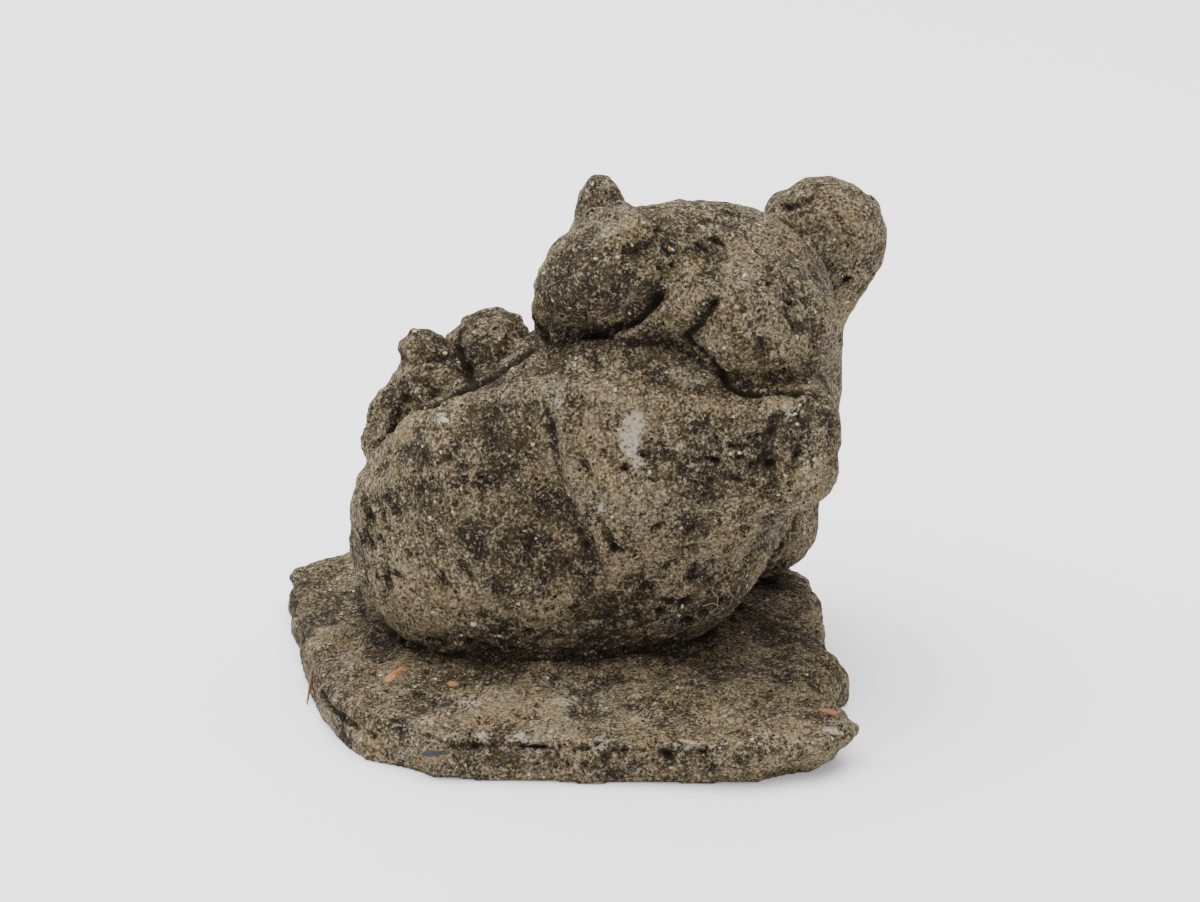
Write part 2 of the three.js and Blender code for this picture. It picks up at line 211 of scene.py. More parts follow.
def slab_form():
    def at(points):
        x, y, z = points.T
        edge = outline_distance(x, y)
        for depth, width, seed in SLAB_OUTLINE_WAVES:
            edge = edge + depth * noise(points, width, seed)
        crown_curve, lip_curve = 0.7, 1.3
        inward = np.clip(-edge / (SLAB_LENGTH / 3), 0, 1)
        top = SLAB_RIM + (SLAB_CROWN - SLAB_RIM) * inward ** crown_curve
        below_rim = np.clip(1 - z / SLAB_RIM, 0, 1)
        towards_lip = np.clip(3 * x / SLAB_LENGTH - 0.15, 0, 1) * np.clip(-4 * y / SLAB_DEPTH - 0.5, 0, 1)
        side = edge + LIP_OVERHANG * towards_lip * below_rim ** lip_curve
        at_left = np.clip(-x / 20 - 2.6, 0, 1)
        crease = np.exp(-((z - LEFT_CREASE_HEIGHT) / LEFT_CREASE_WIDTH) ** 2)
        side = side + at_left * LEFT_CREASE_DEPTH * crease
        return np.maximum(-soft_min(top - z, -side, SLAB_EDGE_ROUND * SLAB_EDGE_WEAR), -z)

    half_length = SLAB_LENGTH / 2 + SLAB_MARGIN
    half_depth = SLAB_DEPTH / 2 + SLAB_MARGIN
    return Form(at, (-half_length, -half_depth, 0), (half_length, half_depth, SLAB_CROWN))


def mother_form():
    haunch = ball((-13.5, 2.6, 24), (35.5, 29, 27.7), (0, -28, 0))
    back = ball((13, 7.7, 33), (34.8, 24.5, 27), (0, 4, 0))
    flank = ball((-5.8, -0.6, 10.3), (34.2, 22.6, 19.4), (0, -4, 0))
    belly = ball((15.5, -3.5, 20), (22, 21.8, 22), (0, -45, 0))
    side_hollow = ball((-9, -34, 38), (13, 10, 18), (0, -14, 0))
    nape = ball((9, -5, 46), (26, 19, 18))
    shoulder = ball((-15, -9, 38), (20, 16.5, 16.5), (0, -22, 0))
    brow = block((15, -7.5, 49.5), (24, 13.5, 9), 5, (18, 3, 0))
    head = ball((27, -9, 37.4), (26.5, 20, 17.4), (0, -36, 0))
    cheek = ball((17.5, -9.5, 36), (20, 18.5, 21), (0, -30, 0))
    ear_lobe = ball((3.4, -18, 39), (8.8, 10.5, 21), (-10, -17, 0))
    muzzle = block((43.2, -16.6, 44.4), (7.4, 10.4, 12), 7, (0, 4, 12))
    cheek_groove = limb((37.2, -30, 49), (38.2, -29.7, 36), 2.4, 2.2)
    trunk = carve(8, join(9, haunch, nape, shoulder, brow, back, flank, belly), side_hollow)
    face = carve(2, join(6, join(8, head, cheek, ear_lobe), muzzle), cheek_groove)
    return place(join(2.4, trunk, face), MOTHER_RESTS_ON, MOTHER_LENGTH)


def young_form():
    back = ball((3.2, 2.1, 25.5), (43.6, 27.7, 28.7), (0, 8, 0))
    haunch = ball((20.2, -12.8, 19.1), (26.6, 23.4, 23.4), (0, 14, 0))
    head = ball((-26.6, -8.5, 35.1), (26.6, 19.1, 17.6), (0, -28, 0))
    snout = limb((-36.2, -8.5, 28.7), (-46.8, -7.4, 17), 11.7, 6.4)
    raised_ear = ball((-30.2, 2.5, 40.4), (9.9, 7, 24), (0, -4, 0))
    laid_ear = limb((-24.5, -5, 53), (-16.5, -18.5, 48.6), 4.4, 4.2)
    ear_hollow = limb((-20, -24.8, 49), (-15.5, -26.3, 44.5), 2.8, 3.2)
    jaw_gap = limb((-37, -28, 17), (-9.5, -26, 31.5), 3, 3.8)
    arm = limb((0.5, -18.5, 29), (-23.5, -23, 17), 10.6, 2.6)
    arm_groove = limb((6, -30, 31), (-7.5, -27, 13.5), 1.8, 2.8)
    body = join(3.2, back, haunch)
    face = join(3.5, join(8.5, head, snout), raised_ear, laid_ear)
    figure = carve(4.3, join(4.3, body, face), ear_hollow)
    figure = carve(1.4, join(1.6, carve(1.4, figure, jaw_gap), arm), arm_groove)
    return place(figure, on_mother(23.2, 2.5, 54.2), YOUNG_LENGTH)


def second_young_form():
    head = ball((6, 0, 83.5), (14.8, 13.3, 15), (0, 20, 0))
    snout = limb((5, 5, 81), (4.2, 15.5, 78), 10.5, 5.8)
    ears = join(1, ball((-2.5, 9.5, 87.5), (5, 3.4, 5)), ball((15.5, 9.5, 87), (5, 3.4, 5)))
    neck = limb((4.8, 0, 76), (-1, 0, 50), 10, 10)
    body = ball((-9.5, 3, 34), (20, 17, 37), (0, 8, 0))
    left_arm = limb((-13, 11, 56), (-5.5, 18.5, 45), 5, 4.2)
    right_arm = limb((6, 7.5, 56), (0.5, 18, 46), 5, 4.2)
    arms = join(1, left_arm, right_arm)
    feet = join(1, ball((-18, 9, 4), (5.5, 7.5, 4.5)), ball((-5, 9, 4), (5.5, 7.5, 4.5)))
    rump = ball((-8, 2, 9), (14.5, 11, 11))
    figure = join(7, join(6, head, snout), neck, body, rump)
    return place(join(3, figure, ears, arms, feet), on_mother(45.2, 28, 0), SECOND_YOUNG_HEIGHT)


# Berries: places on the mother's rump in hundredths of her length, and each one's share of a full size
BERRIES = [
    ((-17.4, 3.9, 56.8), 1), ((-29, 3.9, 49.4), 1), ((-31.6, 5.2, 55.5), 0.64),
    ((-37.1, 3.2, 42.6), 0.76), ((-20.6, 16.8, 49.7), 1.04), ((-32.3, 14.2, 43.2), 0.96),
    ((-38.7, 11.6, 33.5), 0.8), ((-25.8, 24.5, 38.1), 0.96), ((-34.8, 21.9, 29), 0.88),
]


def berry_form():
    balls = [ball(on_mother(*at), share * BERRY_DIAMETER / 2) for at, share in BERRIES]
    return join(BERRY_DIAMETER / 16, *balls)


def tail_form():
    start, bend, end = np.array([(-33, 14), (-24, 40), (20, 34)], float)
    steps = 10
    taper = 0.6
    route = []
    for n in range(steps + 1):
        t = n / steps
        x, y = (1 - t) ** 2 * start + 2 * t * (1 - t) * bend + t * t * end
        route.append(on_mother(x, y, 0) + (0, 0, TAIL_THICKNESS / 6))
    radius = [TAIL_THICKNESS / 2 * (1 - taper * n / steps) for n in range(steps + 1)]
    return join(1, *[limb(route[n], route[n + 1], radius[n], radius[n + 1]) for n in range(steps)])


# Random heights in space. The random numbers repeat after this many bumps.
NOISE_PERIOD = 32


def noise(points, width, seed):
    """Smooth heights from -1 to 1 in bumps about width wide."""
    table = np.random.default_rng(seed).uniform(-1, 1, (NOISE_PERIOD,) * 3).astype(np.float32)
    scaled = (points / width).astype(np.float32)
    home = np.floor(scaled).astype(np.int32)
    part = scaled - home
    part = part * part * (3 - 2 * part)
    total = np.zeros(len(scaled), np.float32)
    for corner in itertools.product((0, 1), repeat=3):
        weight = np.prod(np.where(corner, part, 1 - part), axis=1)
        x, y, z = ((home + corner) % NOISE_PERIOD).T
        total += weight * table[x, y, z]
    return total


def scattered_balls(points, spacing, low, high, seed):
    """From 0 to 1, how deep a point lies in balls of low to high radius, scattered spacing apart."""
    rng = np.random.default_rng(seed)
    jitter = rng.uniform(0.1, 0.9, (NOISE_PERIOD,) * 3 + (3,)).astype(np.float32)
    size = (low + (high - low) * rng.uniform(0, 1, (NOISE_PERIOD,) * 3) ** 3).astype(np.float32)
    home = np.floor(points / spacing).astype(np.int32)
    deepest = np.zeros(len(points), np.float32)
    for step in itertools.product((-1, 0, 1), repeat=3):
        cell = home + step
        x, y, z = (cell % NOISE_PERIOD).T
        gap = points - (cell + jitter[x, y, z]) * spacing
        deepest = np.maximum(deepest, 1 - (gap * gap).sum(1) / size[x, y, z] ** 2)
    return deepest


# Surface of the joined figures

def sample(figures, low, count):
    """The joined figures' distance on a grid of cells, each figure only near its own box."""
    values = np.full(count, FAR_OUTSIDE, np.float32)
    margin = 4 * CELL
    for figure in figures:
        first = np.maximum(np.floor((figure.low - margin - low) / CELL).astype(int), 0)
        last = np.minimum(np.ceil((figure.high + margin - low) / CELL).astype(int), count)
        region = tuple(slice(begin, end) for begin, end in zip(first, last))
        axes = [low[n] + CELL * np.arange(first[n], last[n]) for n in range(3)]
        points = np.stack(np.meshgrid(*axes, indexing="ij"), -1).reshape(-1, 3).astype(np.float32)
        distance = figure.at(points).reshape(values[region].shape)
        values[region] = soft_min(values[region], distance, CONTACT_ROUND)
    return values


def surface(values, low):
    """Corners and four-sided faces of the surface where the sampled distance is zero."""
    stride = np.array([values.shape[1] * values.shape[2], values.shape[2], 1])
    homes, places, flips = [], [], []
    for axis in range(3):
        here = np.moveaxis(values, axis, 0)[:-1]
        there = np.moveaxis(values, axis, 0)[1:]
        crossed = np.nonzero((here < 0) != (there < 0))
        share = here[crossed] / (here[crossed] - there[crossed])
        order = [axis] + [n for n in range(3) if n != axis]
        index = np.empty((len(share), 3), np.int64)
        index[:, order] = np.stack(crossed, 1)
        flips.append(here[crossed] < 0)
        u, v = (axis + 1) % 3, (axis + 2) % 3
        for du, dv in ((1, 1), (0, 1), (0, 0), (1, 0)):
            home = index.copy()
            home[:, u] -= du
            home[:, v] -= dv
            local = np.zeros((len(home), 3), np.float32)
            local[:, axis] = share
            local[:, u] = du
            local[:, v] = dv
            homes.append(home @ stride)
            places.append(local)
    sizes = [len(f) for f in flips]
    unique, inverse = np.unique(np.concatenate(homes), return_inverse=True)
    places = np.concatenate(places)
    count = np.bincount(inverse)
    middle = np.stack([np.bincount(inverse, places[:, n]) / count for n in range(3)], 1)
    corners = (np.stack(np.unravel_index(unique, values.shape), 1) + middle) * CELL + low
    faces, start = [], 0
    for size, flip in zip(sizes, flips):
        quad = inverse[start:start + 4 * size].reshape(4, size).T
        faces.append(np.where(flip[:, None], quad, quad[:, ::-1]))
        start += 4 * size
    return corners, np.concatenate(faces)


def corner_normals(corners, faces):
    """The direction that the surface faces at each corner."""
    first_diagonal = corners[faces[:, 2]] - corners[faces[:, 0]]
    second_diagonal = corners[faces[:, 3]] - corners[faces[:, 1]]
    across = np.cross(first_diagonal, second_diagonal)
    normals = np.zeros_like(corners)
    for n in range(4):
        for axis in range(3):
            normals[:, axis] += np.bincount(faces[:, n], across[:, axis], len(corners))
    return normals / (np.linalg.norm(normals, axis=1, keepdims=True) + TINIER)


# The photograph's view

view_forward = np.array([0, math.cos(VIEW_ELEVATION), -math.sin(VIEW_ELEVATION)])
view_up = np.array([0, math.sin(VIEW_ELEVATION), math.cos(VIEW_ELEVATION)])
view_right = np.array([1, 0, 0])
view_eye = VIEW_TARGET - VIEW_DISTANCE * view_forward


def ray_through(x, y):
    """Direction from the eye through a pixel of the photograph."""
    ray = (view_forward + view_right * (x - IMAGE_WIDTH / 2) / FOCAL_PIXELS
           + view_up * (IMAGE_HEIGHT / 2 - y) / FOCAL_PIXELS)
    return ray / np.linalg.norm(ray)


def seen_at(tree, x, y):
    """The point of the surface that the photograph shows at a pixel."""
    spot = tree.ray_cast(Vector(view_eye), Vector(ray_through(x, y)))[0]
    return None if spot is None else np.array(spot)


# Marks that the photograph shows, as pixels of it and radii, widths and depths in millimetres

# Air holes: the pixel and the radius
AIR_HOLES = [
    (672, 265, 1.0), (658, 268, 1.0), (770, 267, 1.1), (768, 283, 1.0), (805, 381, 1.4), (593, 263, 0.7),
    (625, 467, 1.5), (612, 550, 1.5), (797, 455, 1.1), (477, 476, 0.9), (430, 478, 0.8), (513, 467, 0.8),
    (483, 478, 0.9), (716, 458, 0.9), (535, 438, 0.7), (686, 548, 1.0), (780, 537, 0.9), (578, 572, 0.8),
    (800, 270, 0.9), (814, 327, 0.8), (791, 302, 0.9), (847, 281, 1.6), (668, 756, 1.7), (598, 743, 1.1),
    (402, 640, 1.5), (415, 646, 1.4), (470, 641, 1.6), (484, 646, 1.5), (512, 650, 1.6), (690, 622, 1.8),
    (705, 612, 1.5), (722, 602, 1.6), (588, 729, 0.9), (463, 684, 1.0), (545, 335, 1.2), (398, 443, 0.7),
    (720, 545, 0.8), (745, 520, 0.7),
]

# Fields of pits: the middle of a field, its half width and height, the number of pits and the largest
PIT_FIELDS = [
    ((655, 605), (50, 26), 34, 1.8), ((560, 525), (46, 48), 26, 1.6), ((500, 640), (100, 8), 22, 1.9),
    ((715, 610), (34, 16), 20, 1.9), ((680, 555), (60, 34), 26, 1.3), ((440, 560), (80, 60), 30, 1.1),
    ((680, 440), (80, 36), 26, 1.2), ((610, 370), (100, 22), 26, 1.2), ((720, 260), (90, 50), 34, 1.2),
    ((780, 350), (50, 30), 20, 1.3), ((590, 280), (46, 44), 26, 1.1), ((810, 450), (24, 46), 22, 1.3),
    ((430, 690), (80, 30), 22, 1.3), ((620, 700), (150, 30), 34, 1.1), ((580, 758), (180, 10), 40, 1.5),
    ((380, 620), (20, 60), 16, 1.5), ((490, 335), (26, 26), 16, 1.3), ((430, 370), (30, 40), 18, 1.3),
]

# Each groove: its width, its depth and the pixels that it runs through
GROOVES = [
    (1.4, 1.3, [(533, 322), (545, 338), (560, 345)]),
    (2.0, 2.4, [
        (380, 446), (396, 430), (414, 413), (440, 404), (466, 389), (486, 378), (508, 368), (530, 350),
    ]),
    (1.8, 2.2, [(457, 334), (458, 355), (466, 372), (474, 385)]),
    (1.4, 1.1, [(400, 358), (420, 363), (440, 359), (455, 351)]),
    (1.4, 1.4, [(401, 384), (403, 400), (399, 414), (394, 426)]),
    (2.0, 1.5, [(624, 251), (638, 250), (650, 243)]),
    (1.8, 1.0, [(779, 412), (771, 426), (768, 442), (769, 462), (774, 482), (783, 503)]),
    (1.8, 0.8, [(552, 420), (557, 455), (566, 500), (582, 540), (596, 565)]),
    (1.6, 1.2, [(574, 450), (583, 461), (592, 477)]),
    (1.9, 1.4, [(590, 508), (603, 528), (614, 549)]),
    (1.0, 0.9, [(785, 440), (790, 425), (797, 415)]),
    (1.0, 0.7, [(800, 440), (797, 456), (792, 470)]),
    (1.3, 1.3, [(772, 203), (786, 207), (800, 206), (810, 198)]),
    (1.5, 2.6, [(586, 337), (604, 335), (622, 328), (640, 318), (652, 306), (660, 296)]),
    (1.3, 1.7, [(716, 303), (706, 317), (695, 328), (684, 338)]),
    (1.3, 2.4, [
        (688, 341), (700, 350), (712, 361), (722, 374), (732, 387), (746, 394), (772, 394), (800, 391),
    ]),
    (1.2, 0.8, [(541, 344), (575, 340), (600, 335)]),
    (1.0, 1.0, [
        (400, 727), (440, 740), (480, 743), (535, 746), (590, 748), (650, 750), (720, 749), (790, 742),
    ]),
    (1.2, 1.6, [(453, 746), (464, 747), (476, 747)]),
    (1.2, 1.6, [(518, 745), (530, 746), (544, 746)]),
    (1.5, 1.1, [(321, 690), (332, 705), (350, 722), (375, 735)]),
]

# Each ridge: its width, its height and the pixels that it runs through
RIDGES = [
    (3.0, 1.9, [(553, 398), (561, 425), (570, 455), (581, 495), (598, 530), (616, 576)]),
    (4.5, 1.5, [
        (374, 455), (386, 443), (402, 430), (425, 417), (450, 405), (480, 398), (512, 392), (545, 388),
    ]),
    (4.0, 1.3, [(545, 388), (590, 392), (640, 399), (690, 403), (740, 406), (778, 402)]),
    (1.8, 1.1, [(668, 306), (654, 317), (636, 329), (616, 336)]),
    (2.6, 1.3, [(590, 214), (612, 211), (632, 216), (646, 228), (648, 238)]),
    (2.2, 0.9, [(782, 404), (800, 398), (820, 402)]),
    (2.2, 0.9, [(780, 215), (800, 225), (825, 213), (845, 200)]),
]

# Short strokes of fur: the middle of a field, its half width and height, the strokes' run and count
FUR_FIELDS = [
    ((715, 552), (66, 36), (10, -6), 95),
    ((700, 468), (66, 34), (8, 1.5), 40),
    ((374, 565), (20, 70), (4, 13), 34),
    ((750, 470), (26, 44), (7, -3), 30),
    ((580, 618), (110, 24), (7, -2), 60),
    ((440, 520), (60, 70), (5, 5), 36),
    ((720, 230), (80, 26), (8, 4), 26),
    ((770, 330), (50, 50), (5, 7), 26),
]

# Dirt and painted shadow (above 0), and clean or pale places and painted highlights (below 0): the pixel,
# the radius and how strongly
STAINS_AND_PAINTED_LIGHT = [
    # Painted shadow: the hollow left of the ear lobe's ridge (548, 515) and (520, 555), which is stained
    # too, under the overhanging belly (730, 605) and (700, 612), in the ear hollow (643, 243), under the
    # young one's haunch (740, 385) and in the crevice between the berries and the mother's back (480,
    # 368). Painted highlight: the muzzle's top corner (787, 412) and the tip of the ear lobe's ridge
    # (615, 580).
    (548, 515, 11, 0.22), (520, 555, 9, 0.20), (600, 610, 14, 0.14), (500, 470, 8, 0.12),
    (730, 605, 8, 0.35), (700, 612, 6, 0.25), (560, 300, 11, 0.46), (600, 285, 11, 0.42),
    (575, 260, 8, 0.26), (643, 243, 2.4, 0.45), (660, 225, 8, 0.14), (720, 260, 10, 0.10),
    (690, 205, 10, 0.12), (300, 585, 11, 0.30), (308, 625, 10, 0.32), (330, 560, 8, 0.26),
    (335, 650, 7, 0.14), (800, 325, 4, 0.30), (540, 330, 3, 0.25), (640, 350, 6, 0.08),
    (700, 392, 6, 0.12), (740, 385, 5, 0.20), (600, 375, 9, -0.28), (615, 360, 8, -0.24),
    (520, 375, 8, -0.05), (500, 395, 7, 0.10), (405, 470, 8, 0.10), (720, 450, 12, 0.12),
    (480, 368, 4, 0.35), (420, 397, 4, 0.16), (360, 640, 9, 0.18), (330, 590, 8, 0.14),
    (310, 600, 8, 0.14), (640, 690, 14, -0.14), (760, 640, 12, -0.04), (700, 715, 9, 0.10),
    (800, 690, 8, -0.16), (380, 655, 6, 0.16), (470, 650, 5, 0.16), (690, 440, 7, 0.14),
    (632, 435, 3.4, -0.60), (628, 458, 2.6, -0.50), (636, 422, 2.2, -0.35), (787, 412, 5, -0.35),
    (803, 468, 5, -0.40), (615, 580, 7, -0.25), (420, 580, 11, -0.14), (430, 520, 9, -0.08),
    (600, 226, 5, -0.16), (625, 224, 4, -0.22), (642, 233, 3, -0.20), (450, 715, 9, -0.22),
    (540, 716, 10, -0.20), (625, 722, 10, -0.24), (700, 730, 8, -0.18), (500, 700, 12, -0.30),
    (580, 700, 12, -0.14), (720, 715, 9, -0.20), (560, 735, 12, -0.24), (400, 700, 8, -0.14),
    (800, 725, 9, -0.16), (455, 735, 8, -0.16), (450, 757, 4, 0.08), (520, 758, 5, 0.08),
    (600, 760, 5, 0.10), (680, 762, 5, 0.10), (745, 758, 5, 0.08), (470, 733, 5, -0.26),
    (540, 738, 5, -0.28), (640, 742, 5, -0.26), (720, 742, 5, -0.26), (790, 735, 5, -0.26),
    (380, 560, 8, -0.10), (640, 515, 8, -0.12), (730, 570, 9, -0.10), (690, 312, 3, -0.25),
    (660, 325, 3, -0.20), (700, 250, 10, -0.06), (760, 300, 9, -0.06), (850, 245, 9, -0.18),
    (835, 200, 6, -0.04), (842, 325, 11, -0.75), (846, 290, 8, -0.30), (815, 545, 8, -0.30),
    (410, 435, 6, -0.14), (455, 405, 5, -0.14), (560, 395, 5, -0.12), (680, 550, 10, -0.10),
    (560, 590, 8, -0.08), (845, 740, 8, -0.14),
]

# Coarse grit in the surface: the colour, the pixels at its two ends, its width and how far it stands out
GRIT = [
    ("flint", (381, 684), (407, 666), 3.5, 0.9), ("flint", (446, 682), (460, 686), 3.0, 0.7),
    ("slate", (435, 671), (453, 666), 2.0, 0.6), ("slate", (420, 751), (449, 756), 2.2, 0.5),
    ("brick", (816, 709), (840, 716), 3.6, 1.2), ("brick", (465, 722), (476, 723), 2.0, 0.4),
    ("flint", (485, 726), (492, 727), 1.6, 0.4), ("flint", (547, 708), (553, 709), 1.6, 0.4),
    ("slate", (629, 769), (637, 771), 2.2, 0.5), ("slate", (566, 627), (574, 630), 2.0, 0.4),
    ("flint", (444, 442), (448, 440), 1.3, 0.3), ("pale", (470, 624), (477, 624), 2.2, 0.8),
    ("flint", (668, 246), (671, 252), 1.2, 0.4), ("flint", (790, 248), (793, 253), 1.2, 0.4),
    ("slate", (590, 718), (596, 722), 1.4, 0.3), ("pale", (440, 418), (449, 422), 1.8, 0.4),
    ("brick", (433, 720), (440, 716), 1.5, 0.4), ("slate", (505, 752), (517, 754), 1.3, 0.3),
    ("flint", (690, 395), (697, 398), 1.2, 0.3), ("slate", (378, 640), (384, 642), 1.6, 0.4),
    ("brick", (820, 656), (826, 660), 1.6, 0.4), ("pale", (738, 452), (741, 454), 1.3, 0.4),
]

# Pale growth and painted highlights: the pixel, the radius and how strongly. The spots at (787, 410) and
# (772, 418) are painted highlight on the muzzle's top corner, and (556, 402), (545, 412), (600, 508) and
# (617, 577) painted highlight along the ear lobe's ridge.
PALE_GROWTH_AND_HIGHLIGHTS = [
    (633, 428, 3.0, 1.4), (630, 445, 2.8, 1.5), (637, 417, 2.0, 1.0), (640, 461, 2.2, 1.1),
    (652, 420, 1.6, 0.4), (787, 410, 2.8, 0.6), (772, 418, 2.0, 0.5), (442, 418, 2.2, 0.6),
    (455, 411, 2.0, 0.5), (617, 577, 2.0, 0.6), (600, 508, 1.8, 0.5), (556, 402, 2.4, 0.5),
    (545, 412, 2.0, 0.4), (585, 466, 1.2, 0.5), (600, 200, 2.2, 0.3), (608, 228, 4.0, 0.35),
    (566, 700, 6.0, 0.4), (470, 700, 6.0, 0.45), (640, 712, 6.0, 0.35), (520, 736, 3.5, 0.75),
    (600, 741, 3.5, 0.75), (690, 744, 3.5, 0.60), (770, 740, 3.5, 0.65), (830, 730, 3.0, 0.55),
    (430, 722, 3.0, 0.60), (480, 735, 3.0, 0.65), (665, 398, 2.0, 0.4), (505, 392, 2.2, 0.4),
    (620, 610, 3.0, 0.25), (460, 590, 5.0, 0.2), (420, 600, 5.0, 0.2), (700, 560, 5.0, 0.2),
    (660, 640, 3.0, 0.2), (804, 470, 3.0, 0.35), (820, 430, 2.0, 0.3), (710, 225, 4.0, 0.2),
    (750, 330, 4.0, 0.2),
]


# The uneven surface all over: each size of bump with its height, width and seed
LUMPS = [(0.60, 17, 12), (0.55, 8, 13)]
GRAIN = [(0.50, 3.8, 14), (0.34, 1.9, 15)]
ROUGH_AREA_WIDTH = 24

# Pits scattered all over: how deep, how far apart and the least and largest radius
LARGE_PIT_DEPTH = 1.5
LARGE_PITS = (7.5, 0.6, 1.9)
SMALL_PIT_DEPTH = 0.9
SMALL_PITS = (3.4, 0.5, 1.2)

# Bumps on the berries, the depths of placed holes and pits as shares of their radii, and fur strokes
BERRY_BUMPS_SPACING = 5.2
BERRY_BUMP_RADII = (2.2, 3.6)
BERRY_BUMP_HEIGHT = 1.1
AIR_HOLE_DEPTH = 1.5
PIT_DEPTH = 0.9
FUR_WIDTH = 1.05
FUR_DEPTH = 0.75

# How far round a figure its own kind of surface reaches
FIGURE_REACH = 1.5

# The seeds of what is drawn at random
ROUGH_SEED = 11
BERRY_SEED = 16
LARGE_PIT_SEED = 17
SMALL_PIT_SEED = 18
FUR_SEED = 21
PIT_SEED = 22
MARK_EDGE_SEED = 31
GRIT_SEED = 41


def line_distance(points, spots):
    """The distance from each point to the line through the spots."""
    distance = np.full(len(points), np.inf)
    for start, end in zip(spots[:-1], spots[1:]):
        along = end - start
        share = np.clip((points - start) @ along / (along @ along + TINY), 0, 1)
        distance = np.minimum(distance, np.linalg.norm(points - start - share[:, None] * along, axis=1))
    return distance


def stroke(points, height, spots, width, depth):
    """Press a groove of the given depth into the height, or raise it where the depth is below 0."""
    spots = [spot for spot in spots if spot is not None]
    if len(spots) < 2:
        return
    low = np.min(spots, 0) - width
    high = np.max(spots, 0) + width
    near = np.nonzero(((points > low) & (points < high)).all(1))[0]
    distance = line_distance(points[near], spots)
    height[near] -= depth * np.clip(1 - (distance / width) ** 2, 0, 1)


def relief(points, figures, tree):
    """How far each corner moves out along its normal."""
    def nearness(name):
        return np.exp(-np.maximum(figures[name].at(points), 0) / FIGURE_REACH)

    rough = 0.6 + 0.4 * noise(points, ROUGH_AREA_WIDTH, ROUGH_SEED)
    smooth = 1 - 0.5 * nearness("second_young")
    height = sum(rise * noise(points, width, seed) for rise, width, seed in LUMPS)
    grain = sum(rise * noise(points, width, seed) for rise, width, seed in GRAIN)
    height += grain * (0.6 + rough) * smooth
    bumps = scattered_balls(points, BERRY_BUMPS_SPACING, *BERRY_BUMP_RADII, BERRY_SEED)
    height += nearness("berries") * BERRY_BUMP_HEIGHT * (bumps - 0.35)
    height -= LARGE_PIT_DEPTH * scattered_balls(points, *LARGE_PITS, LARGE_PIT_SEED)
    height -= SMALL_PIT_DEPTH * scattered_balls(points, *SMALL_PITS, SMALL_PIT_SEED) * (0.3 + rough)
    for x, y, radius in AIR_HOLES:
        spot = seen_at(tree, x, y)
        if spot is not None:
            gap = np.linalg.norm(points - spot, axis=1)
            height -= AIR_HOLE_DEPTH * radius * np.clip(1.15 - (gap / radius) ** 2, 0, 1)
    rng = np.random.default_rng(PIT_SEED)
    for (x, y), (half_width, half_height), count, largest in PIT_FIELDS:
        for place_x, place_y, size in rng.uniform(-1, 1, (count, 3)):
            spot = seen_at(tree, x + half_width * place_x, y + half_height * place_y)
            if spot is not None:
                radius = largest * (0.4 + 0.6 * size * size)
                near_pit = np.nonzero((np.abs(points - spot) < radius * 1.1).all(1))[0]
                gap = (points[near_pit] - spot) / radius
                height[near_pit] -= PIT_DEPTH * radius * np.clip(1.1 - (gap * gap).sum(1), 0, 1)
    for width, depth, pixels in GROOVES:
        stroke(points, height, [seen_at(tree, *pixel) for pixel in pixels], width, depth)
    for width, rise, pixels in RIDGES:
        stroke(points, height, [seen_at(tree, *pixel) for pixel in pixels], width, -rise)
    rng = np.random.default_rng(FUR_SEED)
    for (x, y), (half_width, half_height), (run_x, run_y), count in FUR_FIELDS:
        for place_x, place_y, length, depth in rng.uniform(-1, 1, (count, 4)):
            begin = np.array([x + half_width * place_x, y + half_height * place_y])
            end = begin + np.array([run_x, run_y]) * (1 + 0.6 * length)
            spots = [seen_at(tree, *begin), seen_at(tree, *end)]
            stroke(points, height, spots, FUR_WIDTH, FUR_DEPTH + 0.4 * depth)
    above_ground = np.clip((points[:, 2] - 0.6) / 1.5, 0, 1)
    return height * above_ground


def stains_and_painted_light(points, tree, marks):
    """The marks' strengths summed at each corner, with uneven edges."""
    total = np.zeros(len(points), np.float32)
    for x, y, radius, strength in marks:
        spot = seen_at(tree, x, y)
        if spot is not None:
            gap = np.linalg.norm(points - spot, axis=1)
            total += strength * np.exp(-(gap / radius) ** 2 * 1.2)
    return total * (1 + 0.7 * noise(points, 6, MARK_EDGE_SEED))


def upward(points, normals):
    """From 0 to 1, how far each corner faces up, less on the slab."""
    above_slab = np.clip((points[:, 2] - SLAB_CROWN - 1) / 6, 0, 1)
    return np.clip((normals[:, 2] - 0.45) / 0.5, 0, 1) * (0.35 + 0.65 * above_slab)


# Pieces

def link_piece(name, mesh):
    thing = bpy.data.objects.new(name, mesh)
    bpy.context.scene.collection.objects.link(thing)
    return thing


def mesh_object(name, corners, faces, shift):
    mesh = bpy.data.meshes.new(name)
    mesh.from_pydata(((corners + shift) * MM).tolist(), [], faces.tolist())
    mesh.validate()
    return link_piece(name, mesh)


def apply_modifiers(thing):
    evaluated = thing.evaluated_get(bpy.context.evaluated_depsgraph_get())
    mesh = bpy.data.meshes.new_from_object(evaluated)
    thing.modifiers.clear()
    thing.data = mesh


# Corners lower than this are put on the ground
GROUND_SNAP = 0.5

# How far out from the surface the openness of a place is measured, for the painted shade in creases and
# hollows
NEAR_PROBE = 2.5
FAR_PROBE = 8


